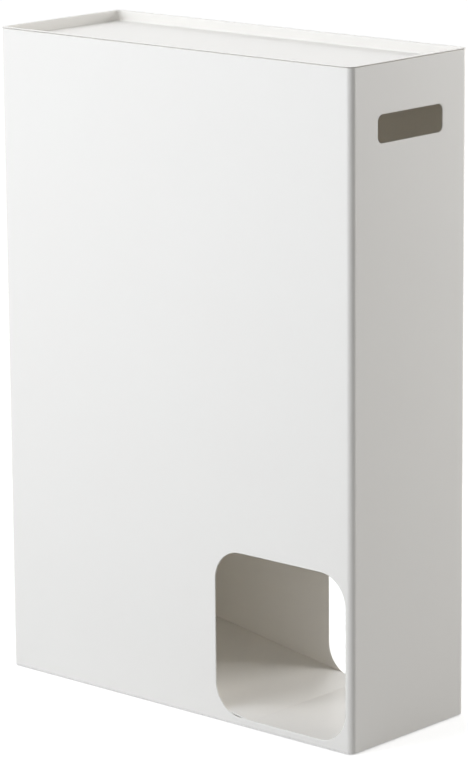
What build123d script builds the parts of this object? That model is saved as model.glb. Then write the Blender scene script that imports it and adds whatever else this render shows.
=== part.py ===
from build123d import *
from math import radians, tan
import os

os.makedirs("parts", exist_ok=True)

# Freestanding holder that stores toilet rolls in three upright columns.
# The front faces -Y, X runs to the right and Z up. The origin is on the ground,
# under the middle of the case. All sizes are millimetres.

# Case: one steel sheet wrapped round the front, both sides and the back
case_width = 345.0
case_depth = 130.0
case_height = 498.0
sheet = 1.0
bend_radius = 5.0
rim_round = 0.45
ground_gap = 1.0

# Windows at the foot, the same in the front and in the back
window_width = 125.5
window_height = 126.0
window_radius = 24.0
window_sill = 5.5
window_margin = 1.1

# Hand slots, one in each side
slot_length = 72.0
slot_height = 20.5
slot_radius = 5.0
slot_drop = 36.0

# Seam in the back, where the two ends of the wrapped sheet lap
seam_inset = 24.0
seam_gap = 0.6
lap_width = 14.0

# Floor: a level run under the windows, folded up into a ramp
floor_level = 5.0
level_run = 97.5
ramp_angle = 9.0
fold_radius = 4.0
end_drop = 12.0
side_drop = 10.0

# Folded edges of the floor and of the base plate
edge_bend = 1.5
fit_gap = 0.5

# Tray: a shallow pan that drops into the open top and hangs by its rim
tray_depth = 8.0
tray_clearance = 0.4
tray_corner = 5.0
tray_foot_round = 2.0
tray_lip_round = 0.9
tray_overhang = 0.6
tray_edge_round = 0.3

# Foot pads under the base plate
pad_diameter = 18.0
pad_inset = 20.0
pad_taper = 6.0
pad_chamfer = 0.8

# Places that several pieces share
case_top = ground_gap + case_height
inner_x = case_width / 2 - sheet
inner_y = case_depth / 2 - sheet
floor_top = ground_gap + floor_level
base_top = floor_top - sheet
base_foot = ground_gap + fit_gap
corner_relief = bend_radius - sheet + fit_gap
seam_start = -case_width / 2 + seam_inset
step_end = seam_start + sheet
outer_lap_start = step_end + seam_gap
lap_end = outer_lap_start + lap_width

# Body shell: the wrapped sheet. In the back its left end steps inwards by one
# thickness and runs behind the right end, to which it is welded.
with BuildPart() as body_shell:
    with BuildSketch(Plane.XY.offset(ground_gap)):
        RectangleRounded(case_width, case_depth, bend_radius)
        RectangleRounded(2 * inner_x, 2 * inner_y, bend_radius - sheet, mode=Mode.SUBTRACT)
        with BuildLine():
            Polyline(
                (seam_start, inner_y),
                (step_end, inner_y - sheet),
                (lap_end, inner_y - sheet),
                (lap_end, inner_y),
                close=True,
            )
        make_face()
    extrude(amount=case_height)
    outer_rim = body_shell.faces().sort_by(Axis.Z)[-1].outer_wire()
    fillet(outer_rim.edges(), rim_round)

    # Groove left between the step and the outer end of the sheet
    with BuildSketch(Plane.XY.offset(ground_gap)):
        with BuildLine():
            Polyline(
                (seam_start, inner_y + sheet),
                (step_end, inner_y),
                (outer_lap_start, inner_y),
                (outer_lap_start, inner_y + sheet),
                close=True,
            )
        make_face()
    extrude(amount=case_height, mode=Mode.SUBTRACT)

    # Front and back windows, cut in line
    window_x = case_width / 2 - bend_radius - window_margin - window_width / 2
    window_z = ground_gap + window_sill + window_height / 2
    with BuildSketch(Plane.XZ):
        with Locations((window_x, window_z)):
            RectangleRounded(window_width, window_height, window_radius)
    extrude(amount=case_depth, both=True, mode=Mode.SUBTRACT)

    # Hand slots
    with BuildSketch(Plane.YZ):
        with Locations((0, case_top - slot_drop - slot_height / 2)):
            RectangleRounded(slot_length, slot_height, slot_radius)
    extrude(amount=case_width, both=True, mode=Mode.SUBTRACT)

body_shell.part.label = "body_shell"
export_step(body_shell.part, "parts/body_shell.step")

# Base plate: a shallow pan turned upside down, with its four edges folded down
# and welded inside the foot of the shell. It closes the underside and carries the pads.
with BuildPart() as base_plate:
    with BuildSketch(Plane.XY.offset(base_foot)):
        Rectangle(2 * inner_x, 2 * inner_y)
    extrude(amount=base_top - base_foot)
    fillet(base_plate.faces().sort_by(Axis.Z)[-1].edges(), edge_bend)
    offset(amount=-sheet, openings=base_plate.faces().sort_by(Axis.Z)[0])

    # Square reliefs at the corners, and a notch past the lap of the shell
    with BuildSketch(Plane.XY):
        with GridLocations(2 * inner_x, 2 * inner_y, 2, 2):
            Rectangle(2 * corner_relief, 2 * corner_relief)
        with Locations(((seam_start + lap_end) / 2, inner_y)):
            Rectangle(lap_end - seam_start + 2 * fit_gap, 2 * (sheet + fit_gap))
    extrude(amount=base_top, mode=Mode.SUBTRACT)

base_plate.part.label = "base_plate"
export_step(base_plate.part, "parts/base_plate.step")

# Sloped floor: one sheet that lies on the base plate under the windows and is folded
# up into the ramp that brings the rolls to them. Its left end and both long edges of
# the ramp are folded down, out of sight, and welded to the shell.
fold_x = inner_x - level_run
slope = tan(radians(ramp_angle))
ramp_end = floor_top + slope * (fold_x + inner_x)
side_flange_x = fold_x - (side_drop - sheet + fit_gap) / slope
side_flange_z = floor_top + slope * (fold_x - side_flange_x)
ramp_plane = Plane(
    origin=(side_flange_x, 0, side_flange_z),
    x_dir=(0, 1, 0),
    z_dir=(-1, 0, slope),
)

with BuildPart() as sloped_floor:
    with BuildSketch(Plane.XZ):
        with BuildLine():
            FilletPolyline(
                (inner_x, floor_top),
                (fold_x, floor_top),
                (-inner_x, ramp_end),
                (-inner_x, ramp_end - end_drop),
                radius=[fold_radius, edge_bend],
            )
            offset(amount=sheet, side=Side.LEFT)
        make_face()
    extrude(amount=inner_y, both=True)
    right_corners = sloped_floor.edges().filter_by(Axis.Z).group_by(Axis.X)[-1]
    fillet(right_corners, bend_radius - sheet)

    # The long edges are cut back where the side flanges take their place
    with BuildSketch(Plane.XY):
        with Locations((-inner_x, -inner_y), (-inner_x, inner_y)):
            Rectangle(2 * (inner_x + side_flange_x + sheet), 2 * edge_bend)
    extrude(amount=ramp_end, mode=Mode.SUBTRACT)

    # Side flanges, folded over from the ramp
    with BuildSketch(ramp_plane):
        with BuildLine():
            FilletPolyline(
                (-inner_y, side_drop),
                (-inner_y, 0),
                (inner_y, 0),
                (inner_y, side_drop),
                radius=edge_bend,
            )
            offset(amount=sheet, side=Side.LEFT)
        make_face()
    extrude(amount=side_flange_x + inner_x)

    # Square reliefs at the left corners, and a notch past the lap of the shell
    with BuildSketch(Plane.XY):
        with Locations((-inner_x, -inner_y), (-inner_x, inner_y)):
            Rectangle(2 * corner_relief, 2 * corner_relief)
        with Locations(((seam_start + lap_end) / 2, inner_y)):
            Rectangle(lap_end - seam_start + 2 * fit_gap, 2 * (sheet + fit_gap))
    extrude(amount=case_height, mode=Mode.SUBTRACT)

sloped_floor.part.label = "sloped_floor"
export_step(sloped_floor.part, "parts/sloped_floor.step")

# Tray: a pressed pan with a flat rim that rests on the upper edge of the shell. All
# round, its walls stand off the shell by enough to pass the lap in the back.
pan_gap = sheet + tray_clearance
pan_width = 2 * (inner_x - pan_gap)
pan_depth = 2 * (inner_y - pan_gap)
rim_top = case_top + sheet

with BuildPart() as tray:
    with BuildSketch(Plane.XY.offset(rim_top - tray_depth - sheet)):
        RectangleRounded(pan_width, pan_depth, tray_corner)
    extrude(amount=tray_depth + sheet)
    fillet(tray.faces().sort_by(Axis.Z)[0].edges(), tray_foot_round)
    offset(amount=-sheet, openings=tray.faces().sort_by(Axis.Z)[-1])
    with BuildSketch(Plane.XY.offset(case_top)):
        RectangleRounded(
            case_width + 2 * tray_overhang,
            case_depth + 2 * tray_overhang,
            bend_radius + tray_overhang,
        )
        RectangleRounded(pan_width, pan_depth, tray_corner, mode=Mode.SUBTRACT)
    extrude(amount=sheet)
    rim_face = tray.faces().sort_by(Axis.Z)[-1]
    fillet(rim_face.inner_wires()[0].edges(), tray_lip_round)
    rim_edges = tray.faces().sort_by(Axis.Z)[-1].outer_wire().edges()
    fillet(rim_edges, tray_edge_round)

tray.part.label = "tray"
export_step(tray.part, "parts/tray.step")

# Foot pads: four soft buttons stuck under the base plate, standing just proud of the case
pad_top = base_top - sheet
for side, pad_x in (("left", pad_inset - case_width / 2), ("right", case_width / 2 - pad_inset)):
    for end, pad_y in (("front", pad_inset - case_depth / 2), ("back", case_depth / 2 - pad_inset)):
        with BuildPart() as foot_pad:
            with BuildSketch(Plane((pad_x, pad_y, pad_top))):
                Circle(pad_diameter / 2)
            extrude(amount=-pad_top, taper=pad_taper)
            chamfer(foot_pad.faces().sort_by(Axis.Z)[0].edges(), pad_chamfer)
        foot_pad.part.label = f"foot_pad_{end}_{side}"
        export_step(foot_pad.part, f"parts/foot_pad_{end}_{side}.step")
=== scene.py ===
import bmesh
import bpy
from math import copysign, cos, pi, radians, sin, tan
from mathutils import Matrix, Vector


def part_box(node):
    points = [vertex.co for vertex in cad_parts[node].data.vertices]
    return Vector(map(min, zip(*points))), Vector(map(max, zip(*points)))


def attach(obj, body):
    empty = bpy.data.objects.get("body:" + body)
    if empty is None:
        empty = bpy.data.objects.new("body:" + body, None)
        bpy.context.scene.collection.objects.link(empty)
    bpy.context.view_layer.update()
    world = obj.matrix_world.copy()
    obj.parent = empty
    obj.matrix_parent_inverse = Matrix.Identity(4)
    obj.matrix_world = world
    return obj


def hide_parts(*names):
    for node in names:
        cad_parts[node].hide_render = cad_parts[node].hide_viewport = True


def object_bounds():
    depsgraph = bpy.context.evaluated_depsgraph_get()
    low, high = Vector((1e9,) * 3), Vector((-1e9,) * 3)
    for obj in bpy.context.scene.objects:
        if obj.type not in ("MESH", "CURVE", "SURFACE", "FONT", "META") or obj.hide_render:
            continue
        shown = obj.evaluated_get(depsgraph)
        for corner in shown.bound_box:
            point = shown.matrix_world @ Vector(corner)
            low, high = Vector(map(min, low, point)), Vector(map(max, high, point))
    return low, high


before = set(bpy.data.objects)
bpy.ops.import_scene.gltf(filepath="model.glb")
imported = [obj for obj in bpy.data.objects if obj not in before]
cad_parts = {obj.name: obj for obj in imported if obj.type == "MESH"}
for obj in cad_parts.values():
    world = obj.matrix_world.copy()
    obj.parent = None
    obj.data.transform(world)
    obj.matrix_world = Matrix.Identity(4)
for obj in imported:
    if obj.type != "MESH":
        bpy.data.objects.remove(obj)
cad_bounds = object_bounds()

# Camera. It stands to the right of the front and above the tray, nearly three metres off with
# a long lens. The photograph leans by half a degree, and so does this view.
eye = Vector((1.8359, -2.0415, 0.8700))
aim = Vector((0.0, 0.0033, 0.2380))
lean = radians(-0.46)
camera_data = bpy.data.cameras.new("camera")
camera_data.sensor_width = 36.0
camera_data.lens = 176.375
camera = bpy.data.objects.new("camera", camera_data)
look = (aim - eye).to_track_quat("-Z", "Y").to_matrix().to_4x4()
camera.matrix_world = Matrix.Translation(eye) @ look @ Matrix.Rotation(lean, 4, "Z")
bpy.context.scene.collection.objects.link(camera)
bpy.context.scene.camera = camera

# Body shell. One sheet of steel, laser cut flat with both windows and both hand slots, bent
# round the four upright corners and spot welded where its ends lap in the back. The paint
# wraps its cut edges, which rounds them. It is cut flat here too, and then bent.
mm = 0.001
sheet = 1.0 * mm
edge_round = 0.45 * mm
edge_steps = 3
sharp = radians(60)
bend_steps = 14
corner_bend = 5.0 * mm
window_width = 125.5 * mm
window_height = 126.0 * mm
window_corner = 24.0 * mm
window_sill = 5.5 * mm
window_margin = 1.1 * mm
slot_length = 72.0 * mm
slot_height = 20.5 * mm
slot_corner = 5.0 * mm
slot_drop = 36.0 * mm
seam_inset = 24.0 * mm
lap_gap = 0.6 * mm
lap_width = 14.0 * mm
joggle_angle = radians(40)
joggle_inner = 1.0 * mm
joggle_outer = joggle_inner + sheet


def cut_line(mesh, corners):
    """Adds a closed line to a flat blank. Each corner is a place across and up, and its radius."""
    verts = [mesh.verts.new((across, 0, up)) for across, up, radius in corners]
    mesh.faces.new(verts)
    for vert, (across, up, radius) in zip(verts, corners):
        if radius:
            bmesh.ops.bevel(
                mesh, geom=[vert], offset=radius, segments=bend_steps,
                profile=0.5, affect="VERTICES", material=-1,
            )


def corners_of(left, right, low, high, radius=0.0):
    """The four corners of an upright rectangle, all rounded alike."""
    return [(left, low, radius), (right, low, radius), (right, high, radius), (left, high, radius)]


def thicken(mesh):
    """Makes a sheet of the lines drawn so far. Its skin is at Y 0 and its cut edges are rounded."""
    bmesh.ops.delete(mesh, geom=mesh.faces[:], context="FACES_ONLY")
    bmesh.ops.triangle_fill(mesh, edges=mesh.edges[:], use_beauty=True, normal=(0, -1, 0))
    bmesh.ops.inset_region(
        mesh, faces=mesh.faces[:], use_boundary=True, use_even_offset=True, thickness=2 * edge_round,
    )
    bmesh.ops.solidify(mesh, geom=mesh.faces[:], thickness=sheet)
    bmesh.ops.recalc_face_normals(mesh, faces=mesh.faces[:])
    cut_edges = [edge for edge in mesh.edges if edge.calc_face_angle(0) > sharp]
    bmesh.ops.bevel(
        mesh, geom=cut_edges, offset=edge_round, segments=edge_steps,
        profile=0.5, affect="EDGES", material=-1,
    )


def score(mesh, places, direction):
    """Cuts a sheet's faces through at places along a direction, ready to be bent there."""
    exact = 1e-7
    for place in places:
        bmesh.ops.bisect_plane(
            mesh, geom=mesh.verts[:] + mesh.edges[:] + mesh.faces[:], dist=exact,
            plane_co=direction * place, plane_no=direction,
        )


def steps_of(start, length, steps=bend_steps):
    """The places at which a bend is scored."""
    return [start + length * step / steps for step in range(steps + 1)]


def bends_of(runs):
    """The places at which all the bends of a route are scored."""
    places, start = [], 0.0
    for length, turn in runs:
        if turn:
            places += steps_of(start, length)
        start += length
    return places


def along(start, heading, runs, far, depth):
    """Where a point of the blank goes. The runs are lengths of the skin, each with the angle by
    which it turns left, far is measured along them and depth to the left of them."""
    x, y = start
    for number, (length, turn) in enumerate(runs):
        step = far if number == len(runs) - 1 else min(far, length)
        if turn:
            radius = length / turn
            angle = step / radius
            x += radius * (sin(heading + angle) - sin(heading))
            y -= radius * (cos(heading + angle) - cos(heading))
            heading += angle
        else:
            x += step * cos(heading)
            y += step * sin(heading)
        far -= step
        if far <= 0:
            break
    return x - depth * sin(heading), y + depth * cos(heading)


def finish_piece(name, mesh, material, body, node):
    """Makes an object of a mesh that stands for a CAD node, smooth but with its flats kept flat."""
    data = bpy.data.meshes.new(name)
    mesh.to_mesh(data)
    mesh.free()
    data.shade_smooth()
    data.materials.append(material)
    piece = bpy.data.objects.new(name, data)
    bpy.context.scene.collection.objects.link(piece)
    flats = piece.modifiers.new("flats", "WEIGHTED_NORMAL")
    flats.weight = 100
    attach(piece, body)
    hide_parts(node)


def linear(code):
    """A colour of six hex digits of sRGB as the linear values that a shader takes."""
    shares = [int(code[at:at + 2], 16) / 255 for at in (0, 2, 4)]
    return [s / 12.92 if s <= 0.04045 else ((s + 0.055) / 1.055) ** 2.4 for s in shares] + [1.0]


def add_node(tree, kind, settings=(), links=()):
    """Adds a node with its settings, which are properties or sockets, and what feeds its sockets."""
    node = tree.nodes.new(kind)
    for name, value in dict(settings).items():
        if isinstance(name, str) and hasattr(node, name):
            setattr(node, name, value)
        else:
            node.inputs[name].default_value = value
    for name, source in dict(links).items():
        tree.links.new(source, node.inputs[name])
    return node


def powder_coat(name, white, shade, roughness):
    """Polyester powder coat, sprayed dry and baked until it runs into one skin. To the eye it is
    a semi-matte warm white in shallow waves, which drifts by a shade over a hand's width."""
    material = bpy.data.materials.new(name)
    material.use_nodes = True
    tree = material.node_tree
    tree.nodes.clear()
    place = add_node(tree, "ShaderNodeTexCoord").outputs["Object"]

    # Real waves are 1 to 2 mm long, which is too fine for a picture with 1.5 pixels to the
    # millimetre, so they are drawn 3 mm long.
    wave_length = 3.0 * mm
    wave_height = 0.006 * mm
    gloss_drift = 0.03
    waves = add_node(
        tree, "ShaderNodeTexNoise", {"Scale": 1 / wave_length, "Detail": 2.0}, {"Vector": place},
    )
    skin = add_node(
        tree, "ShaderNodeBump", {"Distance": wave_height}, {"Height": waves.outputs["Fac"]},
    )
    drift_length = 90 * mm
    drift = add_node(
        tree, "ShaderNodeTexNoise", {"Scale": 1 / drift_length, "Detail": 3.0}, {"Vector": place},
    )
    colour = add_node(
        tree, "ShaderNodeMix", {"data_type": "RGBA", 6: linear(white), 7: linear(shade)},
        {"Factor": drift.outputs["Fac"]},
    )
    gloss = add_node(
        tree, "ShaderNodeMapRange",
        {"To Min": roughness - gloss_drift, "To Max": roughness + gloss_drift},
        {"Value": waves.outputs["Fac"]},
    )
    paint = add_node(
        tree, "ShaderNodeBsdfPrincipled", {"IOR": 1.5},
        {
            "Base Color": colour.outputs[2],
            "Roughness": gloss.outputs["Result"],
            "Normal": skin.outputs["Normal"],
        },
    )
    add_node(tree, "ShaderNodeOutputMaterial", {}, {"Surface": paint.outputs["BSDF"]})
    return material


case_low, case_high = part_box("body_shell")
wide_flat = case_high.x - case_low.x - 2 * corner_bend
deep_flat = case_high.y - case_low.y - 2 * corner_bend
corner_run = (corner_bend * pi / 2, pi / 2)

# The joggle is the small double bend by which the inner end of the lap steps in by one sheet
joggle_bends = (joggle_inner + joggle_outer) * (1 - cos(joggle_angle))
joggle_slope = (sheet - joggle_bends) / sin(joggle_angle)
joggle_reach = (joggle_inner + joggle_outer) * sin(joggle_angle) + joggle_slope * cos(joggle_angle)
joggle_x = case_low.x + seam_inset + sheet
tongue_end = joggle_x + lap_gap + lap_width
shell_runs = [
    (tongue_end - joggle_x, 0),
    (joggle_inner * joggle_angle, -joggle_angle),
    (joggle_slope, 0),
    (joggle_outer * joggle_angle, joggle_angle),
    (joggle_x - joggle_reach - case_low.x - corner_bend, 0),
    corner_run,
    (deep_flat, 0),
    corner_run,
    (wide_flat, 0),
    corner_run,
    (deep_flat, 0),
    corner_run,
    (case_high.x - corner_bend - joggle_x - lap_gap, 0),
]
blank_length = sum(length for length, turn in shell_runs)
left_side, front, right_side, back = (
    sum(length for length, turn in shell_runs[:run]) for run in (6, 8, 10, 12)
)

shell_mesh = bmesh.new()
cut_line(shell_mesh, corners_of(0, blank_length, case_low.z, case_high.z))
for window_left in (front + wide_flat - window_margin - window_width, back + window_margin):
    cut_line(shell_mesh, corners_of(
        window_left, window_left + window_width,
        case_low.z + window_sill, case_low.z + window_sill + window_height, window_corner,
    ))
for side in (left_side, right_side):
    slot_left = side + (deep_flat - slot_length) / 2
    cut_line(shell_mesh, corners_of(
        slot_left, slot_left + slot_length,
        case_high.z - slot_drop - slot_height, case_high.z - slot_drop, slot_corner,
    ))
thicken(shell_mesh)
score(shell_mesh, bends_of(shell_runs), Vector((1, 0, 0)))
lap_start = (tongue_end, case_high.y - sheet)
for vert in shell_mesh.verts:
    vert.co.x, vert.co.y = along(lap_start, pi, shell_runs, vert.co.x, vert.co.y)
white_paint = powder_coat("powder_coated_steel", "F9F7F2", "F8F5F0", 0.42)
finish_piece("shell", shell_mesh, white_paint, "case", "body_shell")

# Base plate. A shallow pan of the same sheet, turned upside down with its four edges folded
# down. It is spot welded inside the foot of the shell and stiffens it. It is painted with it.
edge_bend = 1.5 * mm
fit_gap = 0.5 * mm
corner_relief = corner_bend - sheet + fit_gap
base_low, base_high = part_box("base_plate")
lap_left = case_low.x + seam_inset - fit_gap
lap_right = tongue_end + fit_gap


def folded_down(place, depth, reach):
    """Where a point of a blank goes when its edges are folded down at a reach from the middle:
    its new place, and how far it lies under the skin."""
    beyond = abs(place) - (reach - edge_bend)
    if beyond <= 0:
        return place, depth
    angle = min(beyond / edge_bend, pi / 2)
    below = max(beyond - edge_bend * pi / 2, 0)
    out = reach - edge_bend + (edge_bend - depth) * sin(angle)
    return copysign(out, place), edge_bend - (edge_bend - depth) * cos(angle) + below


def blank_reach(reach, drop):
    """How far the blank of a sheet reaches whose edge is folded down by a drop."""
    return reach + drop + edge_bend * (pi / 2 - 2)


base_drop = base_high.z - base_low.z
tab_x = blank_reach(base_high.x, base_drop)
tab_y = blank_reach(base_high.y, base_drop)
side_x = base_high.x - corner_relief
side_y = base_high.y - corner_relief
notch_y = base_high.y - edge_bend
base_mesh = bmesh.new()
cut_line(base_mesh, [(across, up, 0) for across, up in (
    (-tab_x, -side_y), (-side_x, -side_y), (-side_x, -tab_y), (side_x, -tab_y), (side_x, -side_y),
    (tab_x, -side_y), (tab_x, side_y), (side_x, side_y), (side_x, tab_y),
    (lap_right, tab_y), (lap_right, notch_y), (lap_left, notch_y), (lap_left, tab_y),
    (-side_x, tab_y), (-side_x, side_y), (-tab_x, side_y),
)])
thicken(base_mesh)
for reach, direction in ((base_high.x, Vector((1, 0, 0))), (base_high.y, Vector((0, 0, 1)))):
    bend = steps_of(reach - edge_bend, edge_bend * pi / 2)
    score(base_mesh, bend + [-place for place in bend], direction)
for vert in base_mesh.verts:
    across, depth, up = vert.co
    x, drop_x = folded_down(across, depth, base_high.x)
    y, drop_y = folded_down(up, depth, base_high.y)
    vert.co = (x, y, base_high.z - max(drop_x, drop_y))
finish_piece("bottom", base_mesh, white_paint, "case", "base_plate")

# Sloped floor. One sheet that lies level behind the windows and is folded up into the ramp
# that brings the rolls to them. Its high end and the ramp's long edges are folded down, out
# of sight, and spot welded to the shell.
ramp_angle = radians(9)
ramp_fold = 4.0 * mm
level_run = 97.5 * mm
end_drop = 12.0 * mm
side_drop = 10.0 * mm
floor_low, floor_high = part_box("sloped_floor")
floor_top = floor_low.z + sheet
fold_x = floor_high.x - level_run
end_turn = ramp_angle + pi / 2
fold_reach = ramp_fold * tan(ramp_angle / 2)
end_reach = edge_bend * tan(end_turn / 2)


def up_ramp(x):
    """How far along the floor's blank the ramp passes a place."""
    return level_run + (fold_x - x) / cos(ramp_angle)


floor_runs = [
    (level_run - fold_reach, 0),
    (ramp_fold * ramp_angle, -ramp_angle),
    (up_ramp(floor_low.x) - level_run - fold_reach - end_reach, 0),
    (edge_bend * end_turn, end_turn),
    (end_drop - end_reach, 0),
]
floor_end = sum(length for length, turn in floor_runs)
flange_start = up_ramp(fold_x - (side_drop - sheet + fit_gap) / tan(ramp_angle))
flange_end = up_ramp(floor_low.x + corner_relief)
half = floor_high.y
tab = blank_reach(half, side_drop)
notch = half - edge_bend
narrow = half - corner_relief
inner_corner = corner_bend - sheet
floor_mesh = bmesh.new()
cut_line(floor_mesh, [
    (0, -half, inner_corner),
    (flange_start - sheet, -half, 0),
    (flange_start - sheet, -notch, 0),
    (flange_start, -notch, 0),
    (flange_start, -tab, 0),
    (up_ramp(lap_right), -tab, 0),
    (up_ramp(lap_right), -notch, 0),
    (up_ramp(lap_left), -notch, 0),
    (up_ramp(lap_left), -tab, 0),
    (flange_end, -tab, 0),
    (flange_end, -narrow, 0),
    (floor_end, -narrow, 0),
    (floor_end, narrow, 0),
    (flange_end, narrow, 0),
    (flange_end, tab, 0),
    (flange_start, tab, 0),
    (flange_start, notch, 0),
    (flange_start - sheet, notch, 0),
    (flange_start - sheet, half, 0),
    (0, half, inner_corner),
])
thicken(floor_mesh)
score(floor_mesh, bends_of(floor_runs), Vector((1, 0, 0)))
bend = steps_of(notch, edge_bend * pi / 2)
score(floor_mesh, bend + [-place for place in bend], Vector((0, 0, 1)))
for vert in floor_mesh.verts:
    far, depth, across = vert.co
    y, drop = (across, depth) if far < flange_start - sheet / 2 else folded_down(across, depth, half)
    x, z = along((floor_high.x, floor_top), pi, floor_runs, far, drop)
    vert.co = (x, -y, z)
finish_piece("ramp", floor_mesh, white_paint, "case", "sloped_floor")

# Tray. A shallow pan pressed from one sheet, with a flat rim by which it hangs in the open
# top of the case. It lies loose, as the lid, and is painted all over. The rim thins to a lip
# past the steel that it rests on, which leaves the dark line seen round the top of the case.
tray_low, tray_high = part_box("tray")
rim_width = 4.0 * mm
rim_corner = 5.6 * mm
lip_thickness = 0.4 * mm
lip_reach = 1.1 * mm
lip_slant = 0.1 * mm
pan_corner = 4.0 * mm
lip_round = 0.9 * mm
foot_round = 1.0 * mm
press_steps = 5


def rounded_ring(mesh, reach, radius, height):
    """Adds a level rectangle of edges with rounded corners and returns its edges."""
    before = set(mesh.edges)
    place = Matrix.Translation((0, 0, height)) @ Matrix.Diagonal((reach[0], reach[1], 1, 1))
    made = bmesh.ops.create_grid(mesh, x_segments=1, y_segments=1, size=1, matrix=place)
    face = made["verts"][0].link_faces[0]
    bmesh.ops.delete(mesh, geom=[face], context="FACES_ONLY")
    bmesh.ops.bevel(
        mesh, geom=made["verts"], offset=radius, segments=bend_steps,
        profile=0.5, affect="VERTICES", material=-1,
    )
    return [edge for edge in mesh.edges if edge not in before]


def quarter(middle, height, radius, first, steps):
    """Places out and up round a quarter of a circle, from the angle first onwards."""
    angles = [first + pi / 2 * step / steps for step in range(steps + 1)]
    return [(middle + radius * cos(angle), height + radius * sin(angle)) for angle in angles]


pan_x = tray_high.x - rim_width
pan_y = tray_high.y - rim_width
pan_floor = tray_low.z + sheet
rim_under = tray_high.z - sheet
foot_outer = foot_round + sheet
upper = quarter(-foot_round, pan_floor + foot_round, foot_round, -pi / 2, press_steps)
upper += quarter(lip_round, tray_high.z - lip_round, lip_round, pi / 2, press_steps)[::-1]
lower = quarter(-foot_round, pan_floor + foot_round, foot_outer, -pi / 2, press_steps)
lower += [(sheet, rim_under)]
lip_under = tray_high.z - lip_thickness
lip_edge = lip_thickness / 2
rim_edge = quarter(-lip_edge, tray_high.z - lip_edge, lip_edge, 0, edge_steps)[::-1]
rim_edge += quarter(-lip_edge, lip_under + lip_edge, lip_edge, -pi / 2, edge_steps)[-2::-1]
rim_edge += [(-lip_reach, lip_under), (-lip_reach - lip_slant, rim_under)]
tray_mesh = bmesh.new()
rings = []
for places, reach_x, reach_y, corner in (
    (upper, pan_x, pan_y, pan_corner),
    (rim_edge, tray_high.x, tray_high.y, rim_corner),
    (lower[::-1], pan_x, pan_y, pan_corner),
):
    for out, up in places:
        rings.append(rounded_ring(tray_mesh, (reach_x + out, reach_y + out), corner + out, up))
rim_top = len(upper) - 1
rim_foot = len(upper) + len(rim_edge) - 1
lip_foot = rim_foot - 2
for number, (ring, following) in enumerate(zip(rings, rings[1:])):
    if number in (rim_top, lip_foot, rim_foot):
        bmesh.ops.triangle_fill(tray_mesh, edges=ring + following, use_beauty=True)
    else:
        bmesh.ops.bridge_loops(tray_mesh, edges=ring + following)
bmesh.ops.holes_fill(tray_mesh, edges=tray_mesh.edges[:], sides=0)
bmesh.ops.recalc_face_normals(tray_mesh, faces=tray_mesh.faces[:])
finish_piece("lid_tray", tray_mesh, white_paint, "tray", "tray")

# Foot pads. Four tapered buttons moulded in silicone rubber and stuck under the base plate.
# They lift the case a millimetre off the floor.
pad_taper = radians(6)
pad_round = 0.8 * mm
pad_round_steps = 4
pad_sides = 48


def silicone(name, grey, shade, roughness):
    """Silicone rubber, moulded matte. To the eye it is milky and soft, with a fine dusty grain."""
    material = bpy.data.materials.new(name)
    material.use_nodes = True
    tree = material.node_tree
    tree.nodes.clear()
    place = add_node(tree, "ShaderNodeTexCoord").outputs["Object"]
    grain_length = 0.8 * mm
    grain_height = 0.02 * mm
    grain = add_node(
        tree, "ShaderNodeTexNoise", {"Scale": 1 / grain_length, "Detail": 4.0}, {"Vector": place},
    )
    colour = add_node(
        tree, "ShaderNodeMix",
        {"data_type": "RGBA", 6: linear(grey), 7: linear(shade)}, {"Factor": grain.outputs["Fac"]},
    )
    skin = add_node(
        tree, "ShaderNodeBump", {"Distance": grain_height}, {"Height": grain.outputs["Fac"]},
    )
    rubber = add_node(
        tree, "ShaderNodeBsdfPrincipled", {"IOR": 1.41, "Roughness": roughness},
        {"Base Color": colour.outputs[2], "Normal": skin.outputs["Normal"]},
    )
    add_node(tree, "ShaderNodeOutputMaterial", {}, {"Surface": rubber.outputs["BSDF"]})
    return material


pad_rubber = silicone("moulded_silicone", "C9C8C4", "BDBCB8", 0.7)
for name in sorted(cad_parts):
    if name.startswith("foot_pad"):
        pad_low, pad_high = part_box(name)
        middle = (pad_low + pad_high) / 2
        height = pad_high.z - pad_low.z
        top_radius = (pad_high.x - pad_low.x) / 2
        pad_mesh = bmesh.new()
        bmesh.ops.create_cone(
            pad_mesh, cap_ends=True, segments=pad_sides, radius1=top_radius - height * tan(pad_taper),
            radius2=top_radius, depth=height, matrix=Matrix.Translation(middle),
        )
        foot_edges = [
            edge for edge in pad_mesh.edges if max(vert.co.z for vert in edge.verts) < middle.z
        ]
        bmesh.ops.bevel(
            pad_mesh, geom=foot_edges, offset=pad_round, segments=pad_round_steps,
            profile=0.5, affect="EDGES", material=-1,
        )
        finish_piece(name.replace("foot_", ""), pad_mesh, pad_rubber, "case", name)

# Floor. A plain pale floor. To the eye and in reflections its own glow brings it up to the
# white of the room. The glow is weaker near the case, where the lamps light the floor as well,
# so that the case leaves a faint shadow there.
floor_reach = 20.0
near_glow, far_glow = 0.48, 0.8
near, far = 0.35, 1.3


def straight_rays(tree):
    """Feeds 1 for what the eye sees straight, or in a reflection or glass, and 0 for the rest."""
    seen = add_node(tree, "ShaderNodeLightPath")
    mirrored = add_node(
        tree, "ShaderNodeMath", {"operation": "MAXIMUM"},
        {0: seen.outputs["Is Glossy Ray"], 1: seen.outputs["Is Transmission Ray"]},
    )
    straight = add_node(
        tree, "ShaderNodeMath", {"operation": "MAXIMUM"},
        {0: seen.outputs["Is Camera Ray"], 1: mirrored.outputs[0]},
    )
    return straight.outputs[0]


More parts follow.
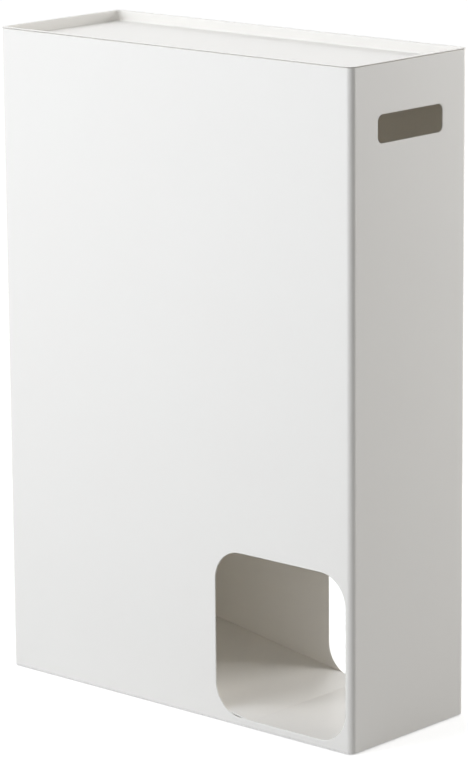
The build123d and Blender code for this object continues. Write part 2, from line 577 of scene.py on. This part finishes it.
floor_paper = bpy.data.materials.new("studio_paper")
floor_paper.use_nodes = True
tree = floor_paper.node_tree
tree.nodes.clear()
paper = add_node(tree, "ShaderNodeBsdfDiffuse", {"Color": linear("B4B3B1")})
pale_paper = add_node(tree, "ShaderNodeBsdfDiffuse", {"Color": linear("F2F2F1")})
place = add_node(tree, "ShaderNodeTexCoord").outputs["Object"]
away = add_node(tree, "ShaderNodeVectorMath", {"operation": "LENGTH"}, {0: place})
glow_level = add_node(
    tree, "ShaderNodeMapRange",
    {"From Min": near, "From Max": far, "To Min": near_glow, "To Max": far_glow},
    {"Value": away.outputs["Value"]},
)
glow = add_node(tree, "ShaderNodeEmission", {}, {"Strength": glow_level.outputs["Result"]})
bright_paper = add_node(
    tree, "ShaderNodeAddShader", {}, {0: pale_paper.outputs[0], 1: glow.outputs[0]},
)
looks = add_node(
    tree, "ShaderNodeMixShader", {},
    {0: straight_rays(tree), 1: paper.outputs[0], 2: bright_paper.outputs[0]},
)
add_node(tree, "ShaderNodeOutputMaterial", {}, {"Surface": looks.outputs[0]})
ground_mesh = bmesh.new()
bmesh.ops.create_grid(ground_mesh, x_segments=1, y_segments=1, size=floor_reach)
ground_data = bpy.data.meshes.new("floor")
ground_mesh.to_mesh(ground_data)
ground_mesh.free()
ground_data.materials.append(floor_paper)
ground = bpy.data.objects.new("floor", ground_data)
bpy.context.scene.collection.objects.link(ground)

# Light. A white studio with four large soft lamps round the case. Light is followed through
# more bounces than usual, because the inside of a white case passes it on again and again.
room_light = 0.23
inside_bounces = 12
lamp_size = 1.2
near_lamps, far_lamps = 2.0, 2.2
daylight, lamplight = "F5F9FF", "FFFFFF"
bpy.context.scene.cycles.diffuse_bounces = inside_bounces
world = bpy.data.worlds.new("studio")
bpy.context.scene.world = world
world.use_nodes = True
tree = world.node_tree
tree.nodes.clear()
room = add_node(
    tree, "ShaderNodeBackground", {"Color": linear("FFFFFF"), "Strength": room_light},
)
white = add_node(tree, "ShaderNodeBackground", {"Color": linear("FFFFFF"), "Strength": 1.0})
looks = add_node(
    tree, "ShaderNodeMixShader", {},
    {0: straight_rays(tree), 1: room.outputs[0], 2: white.outputs[0]},
)
add_node(tree, "ShaderNodeOutputWorld", {}, {"Surface": looks.outputs[0]})


def soft_lamp(name, azimuth, elevation, distance, power, colour, aim_at):
    """A square soft box. Its azimuth is measured from the front towards the right."""
    turn, rise = radians(azimuth), radians(elevation)
    away = Vector((sin(turn) * cos(rise), -cos(turn) * cos(rise), sin(rise)))
    lamp_data = bpy.data.lights.new(name, "AREA")
    lamp_data.size = lamp_size
    lamp_data.energy = power
    lamp_data.color = linear(colour)[:3]
    lamp = bpy.data.objects.new(name, lamp_data)
    lamp.location = aim_at + away * distance
    lamp.rotation_mode = "QUATERNION"
    lamp.rotation_quaternion = away.to_track_quat("Z", "Y")
    bpy.context.scene.collection.objects.link(lamp)


middle = (cad_bounds[0] + cad_bounds[1]) / 2
soft_lamp("front_lamp", -22, 16, far_lamps, 27.5, daylight, middle)
soft_lamp("high_lamp", -40, 55, far_lamps, 13, daylight, middle)
soft_lamp("right_lamp", 155, 15, near_lamps, 26, lamplight, middle)
soft_lamp("back_lamp", -140, 42, near_lamps, 6.5, lamplight, middle)

bpy.context.scene.view_settings.view_transform = "Standard"
